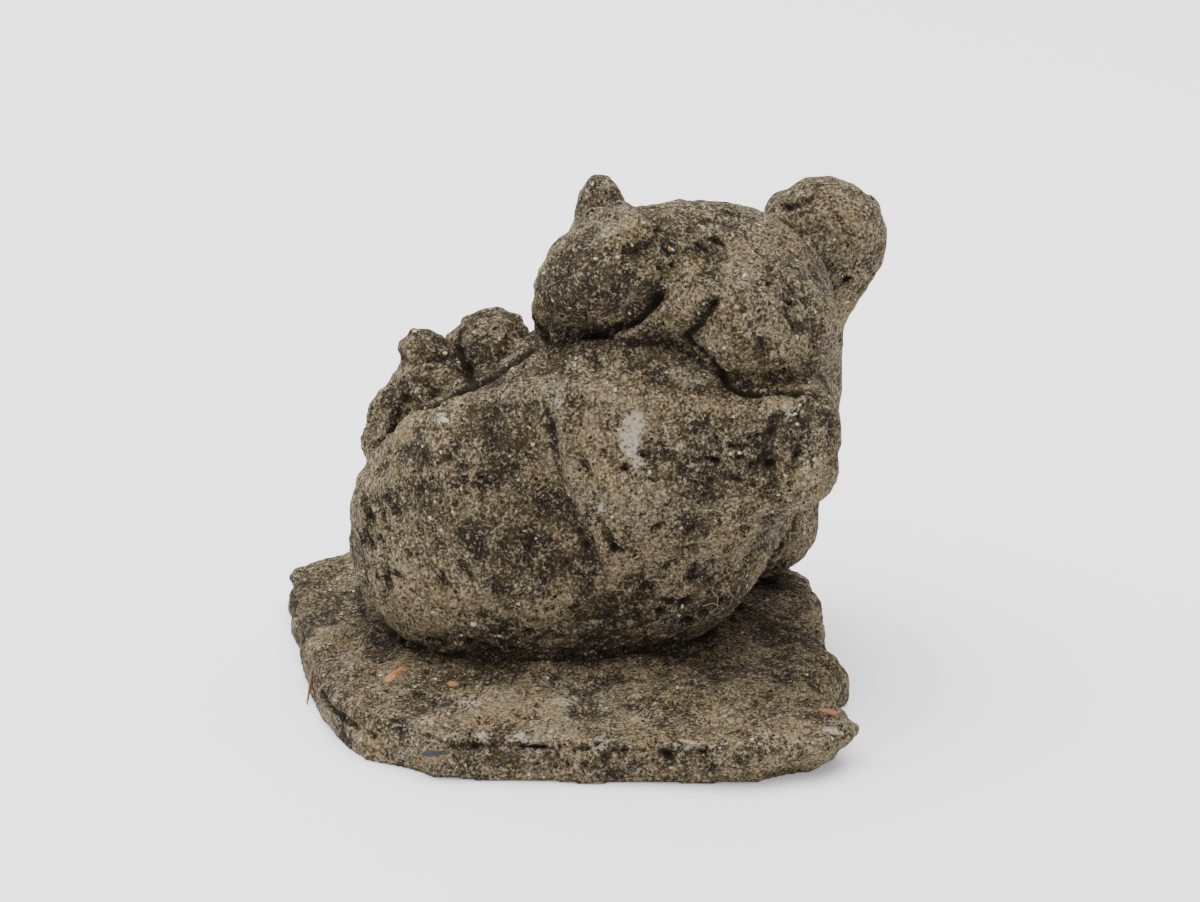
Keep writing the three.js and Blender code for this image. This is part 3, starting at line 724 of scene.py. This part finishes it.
def make_statue():
    """The cast with its relief, and what later steps measure: forms, points, shift and ray trees."""
    figures = {
        "slab": slab_form(), "mother": mother_form(), "young": young_form(),
        "second_young": second_young_form(), "berries": berry_form(), "tail": tail_form(),
    }
    forms = list(figures.values())
    low = np.floor(np.min([f.low for f in forms], 0) / CELL - 3) * CELL
    high = np.max([f.high for f in forms], 0) + 3 * CELL
    count = np.ceil((high - low) / CELL).astype(int) + 1
    corners, faces = surface(sample(forms, low, count), low)
    normals = corner_normals(corners, faces)
    tree = BVHTree.FromPolygons(corners.tolist(), faces.tolist())
    corners = corners.astype(np.float32)
    corners = corners + normals * relief(corners, figures, tree)[:, None]
    corners[:, 2] = np.where(corners[:, 2] < GROUND_SNAP, 0, corners[:, 2])
    box = np.array([corners.min(0), corners.max(0)])
    shift = -box.mean(0)
    shift[2] = 0
    rough_tree = BVHTree.FromPolygons(corners.tolist(), faces.tolist())
    statue = mesh_object("mouse_family_cast", corners, faces, shift)
    thin = statue.modifiers.new("thin", "DECIMATE")
    thin.ratio = TRIANGLES / (2 * len(faces))
    apply_modifiers(statue)
    statue.data.shade_smooth()
    points = np.empty(len(statue.data.vertices) * 3, np.float32)
    statue.data.vertices.foreach_get("co", points)
    points = points.reshape(-1, 3) / MM - shift.astype(np.float32)
    return statue, forms, points, shift, tree, rough_tree


def store(thing, name, values):
    layer = thing.data.attributes.new(name, "FLOAT", "POINT")
    layer.data.foreach_set("value", values.astype(np.float32))


def distance_to(forms, points):
    distance = forms[0].at(points)
    for form in forms[1:]:
        distance = soft_min(distance, form.at(points), CONTACT_ROUND)
    return distance


statue, forms, points, shift, tree, rough_tree = make_statue()
normals = np.empty(len(points) * 3, np.float32)
statue.data.vertices.foreach_get("normal", normals)
normals = normals.reshape(-1, 3)
# The depth below the smooth forms and how closed in each place is; the material paints shade from these
# in pits, grooves, creases and hollows
store(statue, "height", distance_to(forms, points))
store(statue, "near_openness", distance_to(forms, points + NEAR_PROBE * normals) / NEAR_PROBE)
store(statue, "openness", distance_to(forms, points + FAR_PROBE * normals) / FAR_PROBE)
# Stains and pale growth, with painted shadows and painted highlights among them
store(statue, "stains_and_painted_light", stains_and_painted_light(points, tree, STAINS_AND_PAINTED_LIGHT))
store(statue, "pale_growth_and_highlights", stains_and_painted_light(points, tree, PALE_GROWTH_AND_HIGHLIGHTS))
store(statue, "upward", upward(points, normals))
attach(statue, "root")
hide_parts(NODE)


# Material. Noise and speckle scales are in bumps or grains to the metre.

def weathered_concrete():
    material = bpy.data.materials.new("weathered_concrete")
    material.use_nodes = True
    tree = material.node_tree
    nodes, links = tree.nodes, tree.links
    shader = nodes["Principled BSDF"]
    shader.inputs["Roughness"].default_value = 0.92
    shader.inputs["Specular IOR Level"].default_value = 0.25
    place = nodes.new("ShaderNodeTexCoord").outputs["Object"]

    def noise_node(scale, detail, roughness=0.6):
        node = nodes.new("ShaderNodeTexNoise")
        node.inputs["Scale"].default_value = scale
        node.inputs["Detail"].default_value = detail
        node.inputs["Roughness"].default_value = roughness
        links.new(place, node.inputs["Vector"])
        return node.outputs["Fac"]

    def speckle(scale):
        node = nodes.new("ShaderNodeTexVoronoi")
        node.inputs["Scale"].default_value = scale
        links.new(place, node.inputs["Vector"])
        parts = nodes.new("ShaderNodeSeparateColor")
        links.new(node.outputs["Color"], parts.inputs["Color"])
        return parts.outputs

    def ramp(value, *stops):
        """From 0 to 1 as the value goes from the first stop to the second."""
        node = nodes.new("ShaderNodeMapRange")
        node.inputs["From Min"].default_value, node.inputs["From Max"].default_value = stops
        links.new(value, node.inputs["Value"])
        return node.outputs["Result"]

    def mixed(share, first, second):
        node = nodes.new("ShaderNodeMix")
        node.data_type = "RGBA"
        colours = [socket for socket in node.inputs if socket.type == "RGBA"]
        for target, value in zip([node.inputs["Factor"]] + colours, (share, first, second)):
            if isinstance(value, tuple):
                target.default_value = value
            else:
                links.new(value, target)
        return next(socket for socket in node.outputs if socket.type == "RGBA")

    def maths(operation, *values):
        node = nodes.new("ShaderNodeMath")
        node.operation = operation
        for socket, value in zip(node.inputs, values):
            if isinstance(value, (int, float)):
                socket.default_value = value
            else:
                links.new(value, socket)
        return node.outputs["Value"]

    def add(first, second):
        return maths("ADD", first, second)

    def times(first, second):
        return maths("MULTIPLY", first, second)

    def swing(value, strength):
        """A noise value about zero, times its strength."""
        return times(add(value, -0.5), strength)

    def attribute(name):
        node = nodes.new("ShaderNodeAttribute")
        node.attribute_name = name
        return node.outputs["Fac"]

    cement = (0.335, 0.246, 0.132, 1)
    grey_cement = (0.262, 0.210, 0.137, 1)
    pale_cement = (0.61, 0.50, 0.335, 1)
    brown = (0.062, 0.042, 0.018, 1)
    # The soil colour also paints shade in the narrowest creases and deepest pits
    soil_and_shade = (0.018, 0.012, 0.006, 1)
    moss = (0.165, 0.118, 0.030, 1)
    ochre = (0.33, 0.19, 0.08, 1)
    white = (0.70, 0.62, 0.48, 1)
    black = (0.014, 0.011, 0.008, 1)

    # Clean concrete: beige and grey, yellowish with growth in places
    sand = speckle(1500)
    fine = noise_node(1050, 3, 0.75)
    finest = noise_node(2600, 2, 0.7)
    clean = mixed(ramp(noise_node(55, 4), 0.40, 0.62), cement, grey_cement)
    clean = mixed(times(ramp(noise_node(38, 5), 0.48, 0.68), 0.55), clean, moss)

    # Dirt and dark growth in patches and on top, and painted shade in hollows, creases and pits, mixed
    # with the dirt there
    dirt_and_painted_shade = swing(noise_node(60, 5), 0.9)
    dirt_and_painted_shade = add(dirt_and_painted_shade, swing(noise_node(230, 3), 1.2))
    dirt_and_painted_shade = add(dirt_and_painted_shade, swing(noise_node(560, 3), 1.3))
    dirt_and_painted_shade = add(dirt_and_painted_shade, attribute("stains_and_painted_light"))
    dirt_and_painted_shade = add(dirt_and_painted_shade, times(attribute("upward"), 0.14))
    # Painted shade: darker where a place is closed in and where it lies below the smooth forms, in
    # creases, grooves and pits
    dirt_and_painted_shade = add(dirt_and_painted_shade, times(ramp(attribute("openness"), 1.0, 0.2), 0.16))
    dirt_and_painted_shade = add(dirt_and_painted_shade, times(ramp(attribute("near_openness"), 0.95, 0.3), 0.24))
    dirt_and_painted_shade = add(dirt_and_painted_shade, times(ramp(attribute("height"), 0.5, -1.2), 0.55))
    dirt_and_painted_shade = add(dirt_and_painted_shade, -0.12)
    dirt_and_painted_shade = add(dirt_and_painted_shade, swing(fine, 1.7))
    dirt_and_painted_shade = add(dirt_and_painted_shade, swing(finest, 1.3))
    dark = mixed(ramp(noise_node(140, 4), 0.4, 0.6), soil_and_shade, brown)
    colour = mixed(ramp(dirt_and_painted_shade, -0.36, 0.38), clean, dark)
    # Pale growth, and painted highlights on the muzzle's top corner and along the ear lobe's ridge
    growth_and_highlight = add(attribute("pale_growth_and_highlights"), swing(noise_node(430, 4, 0.7), 2.8))
    growth_and_highlight = add(growth_and_highlight, swing(fine, -1.2))
    colour = mixed(times(ramp(growth_and_highlight, 0.20, 0.80), 0.75), colour, white)

    # Fine grains, paler and darker than the rest, dirt or no dirt
    grains = add(swing(fine, -2.2), swing(sand[0], 0.7))
    pale_share = add(times(ramp(dirt_and_painted_shade, 0.40, -0.25), 0.50), 0.32)
    colour = mixed(times(ramp(grains, 0.10, 0.60), pale_share), colour, pale_cement)
    colour = mixed(times(ramp(grains, -0.08, -0.50), 0.85), colour, soil_and_shade)

    # Single grains of the aggregate
    coarse = speckle(1150)
    colour = mixed(maths("GREATER_THAN", coarse[0], 0.9965), colour, white)
    colour = mixed(times(maths("GREATER_THAN", coarse[1], 0.9955), 0.8), colour, ochre)
    colour = mixed(maths("GREATER_THAN", coarse[2], 0.992), colour, black)
    # Painted shade: the narrowest creases and the deepest pits go towards the soil colour
    colour = mixed(times(ramp(attribute("near_openness"), 0.45, 0.0), 0.8), colour, soil_and_shade)
    colour = mixed(times(ramp(attribute("height"), -1.1, -2.3), 0.85), colour, soil_and_shade)
    links.new(colour, shader.inputs["Base Color"])

    bump = nodes.new("ShaderNodeBump")
    bump.inputs["Strength"].default_value = 1.0
    bump.inputs["Distance"].default_value = 0.0030
    rough = add(times(noise_node(900, 4, 0.7), 0.9), times(sand[0], 0.25))
    links.new(rough, bump.inputs["Height"])
    links.new(bump.outputs["Normal"], shader.inputs["Normal"])
    return material


statue.data.materials.clear()
statue.data.materials.append(weathered_concrete())


# Grit: broken flint, brick, slate and pale stone that the surface shows

GRIT_COLOURS = {
    "flint": (0.39, 0.17, 0.045, 1),
    "brick": (0.27, 0.105, 0.045, 1),
    "slate": (0.028, 0.028, 0.031, 1),
    "pale": (0.50, 0.46, 0.38, 1),
}
STONE_THICKNESS = 0.35


def grit_material(name, colour):
    material = bpy.data.materials.new(name + "_grit")
    material.use_nodes = True
    nodes, links = material.node_tree.nodes, material.node_tree.links
    shader = nodes["Principled BSDF"]
    shader.inputs["Roughness"].default_value = 0.65
    place = nodes.new("ShaderNodeTexCoord")
    mottle = nodes.new("ShaderNodeTexNoise")
    mottle.inputs["Scale"].default_value = 700
    mottle.inputs["Detail"].default_value = 4
    links.new(place.outputs["Object"], mottle.inputs["Vector"])
    shades = nodes.new("ShaderNodeValToRGB")
    shades.color_ramp.elements[0].position = 0.35
    shades.color_ramp.elements[0].color = (colour[0] * 0.5, colour[1] * 0.5, colour[2] * 0.5, 1)
    shades.color_ramp.elements[1].position = 0.65
    shades.color_ramp.elements[1].color = colour
    links.new(mottle.outputs["Fac"], shades.inputs["Fac"])
    links.new(shades.outputs["Color"], shader.inputs["Base Color"])
    return material


def make_grit():
    """Rough, tapered stones, each set into the surface along the line between its two pixels."""
    rng = np.random.default_rng(GRIT_SEED)
    names = list(GRIT_COLOURS)
    shape = bmesh.new()
    for colour, first, last, width, stands_out in GRIT:
        middle = ((first[0] + last[0]) / 2, (first[1] + last[1]) / 2)
        spot, normal = rough_tree.ray_cast(Vector(view_eye), Vector(ray_through(*middle)))[:2]
        ends = [seen_at(rough_tree, *pixel) for pixel in (first, last)]
        if spot is None or ends[0] is None or ends[1] is None:
            continue
        lengthwise = Vector(ends[1] - ends[0])
        lengthwise -= lengthwise.project(normal)
        length = min(lengthwise.length, 3.5 * width)
        lengthwise.normalize()
        crosswise = normal.cross(lengthwise)
        made = bmesh.ops.create_icosphere(shape, subdivisions=2, radius=1)
        for vert in made["verts"]:
            x, y, z = vert.co * (1 + rng.uniform(-0.16, 0.10))
            taper = 1 - 0.35 * x
            at = spot + lengthwise * (x * length / 2) + crosswise * (y * taper * width / 2)
            rise = stands_out + (z - 1) * width * STONE_THICKNESS
            vert.co = (at + normal * rise + Vector(shift)) * MM
        for face in {face for vert in made["verts"] for face in vert.link_faces}:
            face.material_index = names.index(colour)
    mesh = bpy.data.meshes.new("embedded_grit")
    shape.to_mesh(mesh)
    shape.free()
    for name in names:
        mesh.materials.append(grit_material(name, GRIT_COLOURS[name]))
    grit = link_piece("embedded_grit", mesh)
    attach(grit, "root")


make_grit()


# What has caught on the stone: a dry needle at the slab's left edge, roots under the overhang and
# one root higher up

NEEDLE_CAUGHT_AT = (316, 661)
NEEDLE = [(314, 661), (312, 672), (310, 685), (308, 699), (307, 711)]
NEEDLE_RADIUS = 0.65
NEEDLE_LEANS_OUT = 1.6
NEEDLE_COLOUR = (0.20, 0.085, 0.03)
ROOTS = [
    [(712, 591), (718, 598), (717, 608), (710, 612), (706, 620)],
    [(703, 606), (712, 603), (722, 607), (726, 616)],
    [(612, 223), (622, 226), (634, 233)],
    [(728, 590), (733, 597), (730, 606), (723, 610)],
]
ROOT_RADIUS = 0.2
ROOT_STANDS_OFF = 0.35
ROOT_COLOUR = (0.33, 0.26, 0.15)


def strand(shape, spots, radius, sides=6):
    """A thin tapered stalk through the spots."""
    rings = []
    for n, spot in enumerate(spots):
        along = (Vector(spots[min(n + 1, len(spots) - 1)]) - Vector(spots[max(n - 1, 0)])).normalized()
        across = along.cross(Vector((0.3, 1, 0.2))).normalized()
        other = along.cross(across)
        size = radius * (1 - 0.6 * n / (len(spots) - 1))
        middle = Vector(spot) + Vector(shift)
        turns = [2 * math.pi * side / sides for side in range(sides)]
        ring = [middle + size * (math.cos(turn) * across + math.sin(turn) * other) for turn in turns]
        rings.append([shape.verts.new(corner * MM) for corner in ring])
    for first, second in zip(rings[:-1], rings[1:]):
        for n in range(sides):
            after = (n + 1) % sides
            shape.faces.new((first[n], first[after], second[after], second[n]))
    shape.faces.new(rings[0][::-1])
    shape.faces.new(rings[-1])


def plain_material(name, colour):
    material = bpy.data.materials.new(name)
    material.use_nodes = True
    nodes, links = material.node_tree.nodes, material.node_tree.links
    shader = nodes["Principled BSDF"]
    shader.inputs["Roughness"].default_value = 0.7
    mottle = nodes.new("ShaderNodeTexNoise")
    mottle.inputs["Scale"].default_value = 300
    shades = nodes.new("ShaderNodeValToRGB")
    shades.color_ramp.elements[0].color = [share * 0.6 for share in colour] + [1]
    shades.color_ramp.elements[1].color = [share * 1.3 for share in colour] + [1]
    links.new(mottle.outputs["Fac"], shades.inputs["Fac"])
    links.new(shades.outputs["Color"], shader.inputs["Base Color"])
    return material


def finish_strands(name, shape, colour):
    bmesh.ops.recalc_face_normals(shape, faces=shape.faces)
    mesh = bpy.data.meshes.new(name)
    shape.to_mesh(mesh)
    shape.free()
    mesh.materials.append(plain_material(name, colour))
    thing = link_piece(name, mesh)
    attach(thing, "root")


def make_needle():
    caught = seen_at(rough_tree, *NEEDLE_CAUGHT_AT)
    spots = []
    for n, (x, y) in enumerate(NEEDLE):
        ray = ray_through(x, y)
        depth = caught[1] - NEEDLE_LEANS_OUT * n
        spot = view_eye + ray * (depth - view_eye[1]) / ray[1]
        spot[2] = max(spot[2], 0.5)
        spots.append(spot)
    spots[0] = caught
    shape = bmesh.new()
    strand(shape, spots, NEEDLE_RADIUS)
    finish_strands("dry_needle", shape, NEEDLE_COLOUR)


def make_roots():
    shape = bmesh.new()
    for pixels in ROOTS:
        spots = [seen_at(rough_tree, *pixel) for pixel in pixels]
        spots = [spot - ROOT_STANDS_OFF * view_forward for spot in spots if spot is not None]
        if len(spots) > 1:
            strand(shape, spots, ROOT_RADIUS)
    finish_strands("dry_roots", shape, ROOT_COLOUR)


make_needle()
make_roots()


# Floor, light and camera

def metres(point):
    return Vector((np.array(point) + shift) * MM)


def make_floor():
    half = 4.0
    corners = [(-half, -half, 0), (half, -half, 0), (half, half, 0), (-half, half, 0)]
    mesh = bpy.data.meshes.new("floor")
    mesh.from_pydata(corners, [], [(0, 1, 2, 3)])
    material = bpy.data.materials.new("pale_floor")
    material.use_nodes = True
    shader = material.node_tree.nodes["Principled BSDF"]
    shader.inputs["Base Color"].default_value = (0.93, 0.93, 0.95, 1)
    shader.inputs["Roughness"].default_value = 0.8
    shader.inputs["Emission Color"].default_value = (1, 1, 1, 1)
    shader.inputs["Emission Strength"].default_value = 0.20
    mesh.materials.append(material)
    floor = link_piece("floor", mesh)


def area_light(name, place, aim, size, power):
    data = bpy.data.lights.new(name, "AREA")
    data.shape = "RECTANGLE"
    data.size, data.size_y = size
    data.energy = power
    light = bpy.data.objects.new(name, data)
    light.location = place
    light.rotation_euler = (Vector(aim) - Vector(place)).to_track_quat("-Z", "Y").to_euler()
    bpy.context.scene.collection.objects.link(light)


def make_light():
    area_light("overhead", (-0.2, 0.5, 2.0), (0, 0.3, 0), (3.0, 3.0), 158)
    area_light("front", (-0.5, -1.3, 0.9), (0, 0, 0.08), (1.0, 0.8), 3)
    world = bpy.data.worlds.new("studio")
    world.use_nodes = True
    world.node_tree.nodes["Background"].inputs["Color"].default_value = (0.93, 0.95, 1.0, 1)
    world.node_tree.nodes["Background"].inputs["Strength"].default_value = 0.6
    bpy.context.scene.world = world


def make_camera():
    data = bpy.data.cameras.new("camera")
    data.lens = LENS
    data.sensor_width = SENSOR
    data.sensor_fit = "HORIZONTAL"
    camera = bpy.data.objects.new("camera", data)
    camera.location = metres(view_eye)
    camera.rotation_euler = Euler((math.pi / 2 - VIEW_ELEVATION, 0, 0))
    bpy.context.scene.collection.objects.link(camera)
    bpy.context.scene.camera = camera


make_floor()
make_light()
make_camera()
